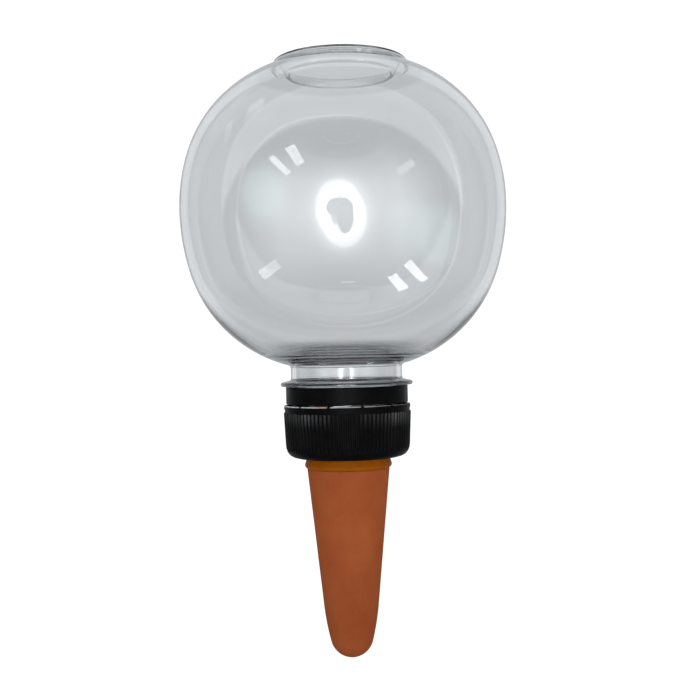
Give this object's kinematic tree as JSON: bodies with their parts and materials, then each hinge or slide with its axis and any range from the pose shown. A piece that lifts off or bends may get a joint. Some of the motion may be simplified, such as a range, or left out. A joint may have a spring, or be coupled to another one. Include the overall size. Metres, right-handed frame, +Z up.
{
  "type": "watering globe",
  "caption": "Clear blown globe that stands upside down on a hollow clay spike, joined by a ribbed black screw cap, to feed water slowly into a pot's soil.",
  "frame": {"origin": "middle of the cap's underside, which meets the soil when the spike is pushed in", "axes": "+Z up along the common axis of every piece, from the spike to the globe"},
  "size_m": [0.1032, 0.1032, 0.1899],
  "materials": {
    "globe_clear": "clear polyester, blown smooth",
    "cap_black": "black polyolefin, satin gloss",
    "band_black": "black polyolefin, satin gloss",
    "terracotta": "unglazed fired clay, matt",
    "seal_amber": "amber rubber, smooth",
    "gasket_white": "white foam rubber, matt"
  },
  "bodies": {
    "spike_cap": {"terracotta_spike": "terracotta", "screw_cap": "cap_black", "seal_ring": "seal_amber", "gasket": "gasket_white"},
    "tamper_band": {"tamper_band": "band_black"},
    "globe": {"globe": "globe_clear"}
  },
  "joints": [
    {"name": "globe_lift", "type": "slide", "parent": "spike_cap", "child": "tamper_band", "axis": [0, 0, 1], "range_m": [0, 0.0144]},
    {"name": "globe_unscrew", "type": "hinge", "parent": "tamper_band", "child": "globe", "pos_m": [0, 0, 0.0227], "axis": [0, 0, 1], "range_deg": [0, 540]}
  ],
  "couplings": [
    {"joint": "globe_lift", "follows": "globe_unscrew", "m_per_rad": 0.0015278}
  ]
}
